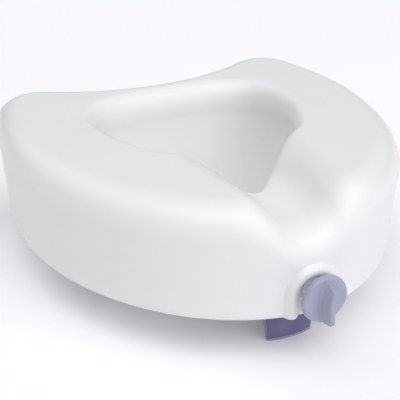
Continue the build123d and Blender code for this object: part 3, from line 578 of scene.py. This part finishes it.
def cut_pockets(shell):
    """Cuts the pockets and bores out of the shell, which then stands for the CAD body."""
    first = [block(*HOUSING_POCKET), around("rear_hook_left"), around("rear_hook_right")]
    for node in RIM_PADS:
        x, y, turn = pad_place(node)
        rings = [slot_ring(x, y, turn, PAD_L, PAD_W, POCKET_GAP, z) for z in PAD_POCKET_Z]
        first.append(rings_object("pocket", rings))
    low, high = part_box("vent_plug")
    middle_y = (low.y + high.y) / 2
    rings = [slot_ring(0, middle_y, 0, VENT_POCKET_D, VENT_POCKET_D, 0, z) for z in VENT_POCKET_Z]
    first.append(rings_object("pocket", rings))
    boolean(shell, join("first", first), "DIFFERENCE")
    boolean(shell, join("second", [block(*FLANGE_POCKET), lathe("spot", BUSH_SPOT)]), "DIFFERENCE")
    boolean(shell, lathe("sleeve", SLEEVE_BORE), "DIFFERENCE")
    shade(shell, BODY_SMOOTH_BELOW)
    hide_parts("seat_body")
    finish_piece(shell, "white_hdpe", "seat")


# ---------------------------------------------------------------- knob
KNOB_R, KNOB_FACE_Y, KNOB_BACK_Y, HUB_R, HUB_BACK_Y = 0.0242, -0.217, -0.2108, 0.011, -0.1973
KNOB_EDGE_R, KNOB_DISH, DISH_R = 0.0026, 0.0006, 0.02
DISH_RINGS = (0.0195, 0.015, 0.010, 0.005, 0.001)
KNOB_BORE_R, KNOB_BORE_Y, BORE_PAST, HUB_MOUTH_R = 0.00605, -0.21205, 0.01, 0.0071
KNOB_STEPS = 128
HUB_CHAMFER, HUB_FILLET, BACK_CHAMFER, BACK_STEP = 0.0006, 0.0012, 0.0010, 0.0003
GRIP_FACE_Y = -0.230
# Right half of the grip's outline at the disc and at its face, from the top down, as (x, z).
GRIP_ROOT = np.array([(0, 22), (3.8, 15), (7.4, 6), (6.4, -8), (5.0, -22.0)]) / 1000
GRIP_FACE = np.array([(0, 15), (3.2, 5), (2.7, -5), (2.3, -12), (2.3, -21.8)]) / 1000
GRIP_ROUND = 0.0011       # rounding of the grip's long edges
# The grip's foot flares into the disc: (distance off the disc's face, how far it flares).
GRIP_FLARE = [(-0.0012, 0.0022), (0, 0.0016), (0.0006, 0.0009), (0.0014, 0.0004), (0.0024, 0.0)]
GRIP_SIDE = np.linspace(0.2, 0.93, 9)         # rings of its sides, as fractions of its height
GRIP_TOP_R, GRIP_CAP_INSET = 0.0009, 0.0016
KNOB_EDGE_STEPS, GRIP_CORNER_STEPS = 9, 6
CORNER_SHARE = 0.42       # a corner's rounding takes at most this share of the edges beside it
NEEDLE = 0.05             # and a corner sharper than this tangent is rounded as if it weren't


def rounded_outline(points, radius):
    """Closed outline whose corners are replaced with curves of the same number of points."""
    out = []
    count = len(points)
    for i in range(count):
        before, here, after = points[i - 1], points[i], points[(i + 1) % count]
        u, v = before - here, after - here
        lu, lv = np.hypot(*u), np.hypot(*v)
        u, v = u / lu, v / lv
        half = math.acos(np.clip(u @ v, -1, 1)) / 2
        trim = min(radius / max(math.tan(half), NEEDLE), CORNER_SHARE * lu, CORNER_SHARE * lv)
        a, b = here + u * trim, here + v * trim
        for t in np.linspace(0, 1, GRIP_CORNER_STEPS):
            out.append((1 - t) ** 2 * a + 2 * t * (1 - t) * here + t * t * b)
    return np.array(out)


def grip_ring(t, grow, y):
    """The grip's outline at a fraction of its height, grown by a distance."""
    half = GRIP_ROOT + (GRIP_FACE - GRIP_ROOT) * t
    full = np.concatenate([half, half[:0:-1] * (-1, 1)])
    ring = rounded_outline(full, GRIP_ROUND)
    middle = ring.mean(0)
    spread = ring - middle
    ring = middle + spread * (1 + grow / np.hypot(*spread.T))[:, None]
    return np.stack([ring[:, 0], np.full(len(ring), y), KNOB_Z + ring[:, 1]], -1)


def knob():
    """Disc with a dished face and a hub behind, an upright grip in front, and a bore for the spindle."""
    face = [(KNOB_R - KNOB_EDGE_R * (1 - math.cos(a)), KNOB_FACE_Y + KNOB_EDGE_R * (1 - math.sin(a)))
            for a in np.radians(np.linspace(0, 90, KNOB_EDGE_STEPS))]
    dish = [(r, KNOB_FACE_Y + KNOB_DISH * smooth(1 - r / DISH_R)) for r in DISH_RINGS]
    back = [(HUB_MOUTH_R, HUB_BACK_Y), (HUB_R - HUB_CHAMFER, HUB_BACK_Y), (HUB_R, HUB_BACK_Y - HUB_CHAMFER),
            (HUB_R, KNOB_BACK_Y + HUB_FILLET), (HUB_R + HUB_FILLET, KNOB_BACK_Y),
            (KNOB_R - BACK_CHAMFER, KNOB_BACK_Y), (KNOB_R - BACK_STEP, KNOB_BACK_Y - BACK_STEP),
            (KNOB_R, KNOB_BACK_Y - BACK_CHAMFER)]
    disc = lathe("lock_knob_shape", back + face + dish, KNOB_STEPS)
    depth = KNOB_FACE_Y - GRIP_FACE_Y
    rings = []
    for off, grow in GRIP_FLARE:
        rings.append(grip_ring(max(off, 0) / depth, grow, KNOB_FACE_Y - off))
    for t in GRIP_SIDE:
        rings.append(grip_ring(t, 0.0, KNOB_FACE_Y - depth * t))
    for a in np.radians(QUARTER_TURN):
        inset = GRIP_TOP_R * (1 - math.cos(a))
        rings.append(grip_ring(1.0, -inset, GRIP_FACE_Y + GRIP_TOP_R * (1 - math.sin(a))))
    rings.append(grip_ring(1.0, -GRIP_CAP_INSET, GRIP_FACE_Y))
    grip = rings_object("grip", rings)
    boolean(disc, grip, "UNION")
    bore = lathe("bore", [(KNOB_BORE_R, HUB_BACK_Y + BORE_PAST), (KNOB_BORE_R, KNOB_BORE_Y)])
    boolean(disc, bore, "DIFFERENCE")
    shade(disc, KNOB_SMOOTH_BELOW)
    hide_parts("lock_knob")
    finish_piece(disc, "knob_violet", "knob")


# ---------------------------------------------------------------- spindle
PITCH, THREAD_ROOT_R, THREAD_R = 0.005, 0.0050, 0.0060
THREAD_Y = (-0.1770, -0.1150)
CLIP_GROOVE = [(THREAD_R, -0.1799), (0.0047, -0.1797), (0.0047, -0.1787), (THREAD_R, -0.1785)]
SPINDLE_CHAMFER, TAIL_GAP, HEAD_GAP = 0.0006, 0.0008, 0.0004
RIDGE_HALF, RIDGE_FLANK = 0.36, 0.16     # half width of the ridge's foot, and a flank's width, in pitches
RUN_IN = 0.001            # over this length the plain journal goes down to the thread's root
SPINDLE_STEPS, RINGS_PER_TURN = 48, 14


def spindle():
    """Turned screw with a right-hand trapezoidal thread behind its journal and clip groove."""
    low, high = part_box("lock_screw")
    start, stop = THREAD_Y
    turn = np.linspace(0, 1, SPINDLE_STEPS, endpoint=False)
    profile = ([(THREAD_R - SPINDLE_CHAMFER, low.y), (THREAD_R, low.y + SPINDLE_CHAMFER)] + CLIP_GROOVE
               + [(THREAD_R, start - HEAD_GAP)])
    for y in np.arange(start, stop, PITCH / RINGS_PER_TURN):
        phase = np.mod(y / PITCH + turn, 1.0)
        ridge = smooth((RIDGE_HALF - np.abs(phase - 0.5)) / RIDGE_FLANK)
        ridge *= smooth((y - start) / PITCH) * smooth((stop - y) / PITCH)
        run_in = 1 - smooth((y - start) / RUN_IN)
        radius = THREAD_ROOT_R + (THREAD_R - THREAD_ROOT_R) * (ridge + run_in)
        profile.append((np.minimum(radius, THREAD_R), y))
    profile += [(THREAD_ROOT_R, stop + TAIL_GAP), (THREAD_ROOT_R, high.y - SPINDLE_CHAMFER),
                (THREAD_ROOT_R - SPINDLE_CHAMFER, high.y)]
    obj = lathe("spindle_threaded", profile, SPINDLE_STEPS)
    shade(obj, SMOOTH_BELOW)
    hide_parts("lock_screw")
    finish_piece(obj, "screw_steel", "knob")


# ---------------------------------------------------------------- rubber pads on the underside
PAD_EDGE_R, PAD_EDGE_STEPS, BAR_STEPS = 0.0007, 5, 5
BAR_COUNT, BAR_STEP, BAR_W, BAR_SHORTER = 13, 0.0026, 0.0013, 0.003
BAR_H, BAR_ROOT_H, BAR_TAPER = 0.0004, 0.0008, 0.00025


def rim_pad(node):
    """Round-ended rubber pad with a rounded lower edge and cross bars."""
    low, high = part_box(node)
    x, y, turn = pad_place(node)
    rings = [slot_ring(x, y, turn, PAD_L, PAD_W, 0, high.z)]
    for a in np.radians(np.linspace(0, 90, PAD_EDGE_STEPS)):
        z = low.z + BAR_H + PAD_EDGE_R * (1 - math.sin(a))
        rings.append(slot_ring(x, y, turn, PAD_L, PAD_W, -PAD_EDGE_R * (1 - math.cos(a)), z))
    parts = [rings_object("pad", rings)]
    for i in range(BAR_COUNT):
        along = (i - BAR_COUNT // 2) * BAR_STEP
        place = x + math.cos(turn) * along, y + math.sin(turn) * along, turn + math.pi / 2
        root, tip = [slot_ring(*place, PAD_W - BAR_SHORTER, BAR_W, grow, z, BAR_STEPS)
                     for grow, z in ((0, low.z + BAR_ROOT_H), (-BAR_TAPER, low.z))]
        parts.append(rings_object("bar", [root, tip]))
    obj = join(node + "_ribbed", parts)
    shade(obj, SMOOTH_BELOW)
    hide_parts(node)
    finish_piece(obj, "rim_rubber", "seat")


# ---------------------------------------------------------------- build the pieces
cut_pockets(seat_shell())
knob()
spindle()
for pad in RIM_PADS:
    rim_pad(pad)
# CAD nodes whose edges get rounded, with the width of the rounding.
SOFTENED = {"lock_housing": 0.0005, "clamp_bracket": 0.0006, "rear_hook_left": 0.0006,
            "rear_hook_right": 0.0006, "nut_keeper": 0.0003, "vent_plug": 0.0003, "clamp_pad": 0.0003,
            "hook_pad_left": 0.0003, "hook_pad_right": 0.0003}
node_slot = {s["node"]: s["material_slot"] for s in frame["record"]["subparts"]}
node_body = {n: b for b, nodes in frame["record"]["behaviour"]["bodies"].items() for n in nodes}
for node, width in SOFTENED.items():
    finish_piece(softened(node, node + "_moulded", width), node_slot[node], node_body[node])
for node, obj in frame["nodes"].items():
    if not obj.hide_render:
        finish_piece(obj, node_slot[node])

# ---------------------------------------------------------------- floor, camera and light
FLOOR_HALF, FLOOR_T, FLOOR_GAP = 6, 0.02, 0.0002
floor = block(-FLOOR_HALF, FLOOR_HALF, -FLOOR_HALF, FLOOR_HALF, FLOOR_Z - FLOOR_T, FLOOR_Z - FLOOR_GAP)
floor.name = "floor"
floor_mat = material("floor_pale", (0.93, 0.925, 0.945), 0.9, spread=0.002, blotch=2.0, bump=0.0)
floor_shader = floor_mat.node_tree.nodes["Principled BSDF"]
floor_shader.inputs["Emission Color"].default_value = (1, 1, 1, 1)
floor_shader.inputs["Emission Strength"].default_value = 0.05
floor.data.materials.append(floor_mat)

CAMERA_AZ, CAMERA_EL, CAMERA_D = math.radians(-25.93), math.radians(26.8), 0.996
CAMERA_LENS, SENSOR = 81.0, 36.0
LOOK_Z = 0.056            # height of the aimed point on the seat's centre line
SHIFT_RIGHT, SHIFT_UP = 0.05, 0.0455      # that point's place from the frame's middle, in frame widths

back = Vector((math.sin(CAMERA_AZ) * math.cos(CAMERA_EL), -math.cos(CAMERA_AZ) * math.cos(CAMERA_EL),
               math.sin(CAMERA_EL)))
right = Vector((math.cos(CAMERA_AZ), math.sin(CAMERA_AZ), 0))
up = back.cross(right)
plane = CAMERA_D * SENSOR / CAMERA_LENS
spot = back * CAMERA_D + Vector((0, 0, LOOK_Z)) - right * SHIFT_RIGHT * plane - up * SHIFT_UP * plane
camera_data = bpy.data.cameras.new("camera")
camera_data.lens, camera_data.sensor_width = CAMERA_LENS, SENSOR
camera = new_object("camera", camera_data)
camera.matrix_world = Matrix.Translation(spot) @ Matrix((right, up, back)).transposed().to_4x4()
bpy.context.scene.camera = camera


world = bpy.data.worlds.new("studio")
bpy.context.scene.world = world
world.use_nodes = True
BOX_INNER, BOX_OUTER = math.radians(8), math.radians(36)     # a soft box fades out between these angles
# Soft boxes round the seat: azimuth from the front and elevation in degrees, and strength. The
# last three stand under the floor, which hides them, and light the underside when it is away. The
# others' strengths began as a program's fit to the photograph's shading, and were set one by one since.
SOFT_BOXES = [(-26, 58, 2.20), (34, 58, 1.62), (-86, 58, 0.94), (-146, 58, 0.75), (14, 28, 1.46),
              (54, 28, 0.92), (134, 28, 0.42), (174, 28, 0.30), (-146, 28, 0.66),
              (0, -50, 0.45), (120, -50, 0.45), (-120, -50, 0.45)]
HIGH_TINT, LOW_TINT, HIGH_FROM = (0.975, 1.0, 0.99), (1.0, 0.965, 1.035), 45
SKY_STRENGTH, BACKDROP = 0.82, (0.94, 0.94, 0.96, 1.0)


def studio_light():
    """World light that is a sum of soft boxes, greener from above than from lower down.

    The camera doesn't see the boxes: where it looks past the floor it sees a plain backdrop.
    """
    nodes, links = world.node_tree.nodes, world.node_tree.links
    sky = nodes["Background"]
    place = nodes.new("ShaderNodeTexCoord")
    total = None
    for azimuth, elevation, strength in SOFT_BOXES:
        a, e = math.radians(azimuth), math.radians(elevation)
        aim = nodes.new("ShaderNodeVectorMath")
        aim.operation = "DOT_PRODUCT"
        aim.inputs[1].default_value = (math.sin(a) * math.cos(e), -math.cos(a) * math.cos(e), math.sin(e))
        links.new(place.outputs["Generated"], aim.inputs[0])
        fade = nodes.new("ShaderNodeMapRange")
        fade.interpolation_type = "SMOOTHSTEP"
        fade.inputs["From Min"].default_value = math.cos(BOX_OUTER)
        fade.inputs["From Max"].default_value = math.cos(BOX_INNER)
        links.new(aim.outputs["Value"], fade.inputs["Value"])
        tint = nodes.new("ShaderNodeVectorMath")
        tint.operation = "MULTIPLY_ADD"
        color = HIGH_TINT if elevation > HIGH_FROM else LOW_TINT
        tint.inputs[1].default_value = tuple(strength * c for c in color)
        tint.inputs[2].default_value = (0.0, 0.0, 0.0)
        links.new(fade.outputs["Result"], tint.inputs[0])
        if total:
            links.new(total, tint.inputs[2])
        total = tint.outputs["Vector"]
    links.new(total, sky.inputs["Color"])
    sky.inputs["Strength"].default_value = SKY_STRENGTH
    backdrop = nodes.new("ShaderNodeBackground")
    backdrop.inputs["Color"].default_value = BACKDROP
    seen = nodes.new("ShaderNodeLightPath")
    either = nodes.new("ShaderNodeMixShader")
    links.new(seen.outputs["Is Camera Ray"], either.inputs["Fac"])
    links.new(sky.outputs["Background"], either.inputs[1])
    links.new(backdrop.outputs["Background"], either.inputs[2])
    links.new(either.outputs["Shader"], nodes["World Output"].inputs["Surface"])


studio_light()
bpy.context.scene.view_settings.view_transform = "Standard"
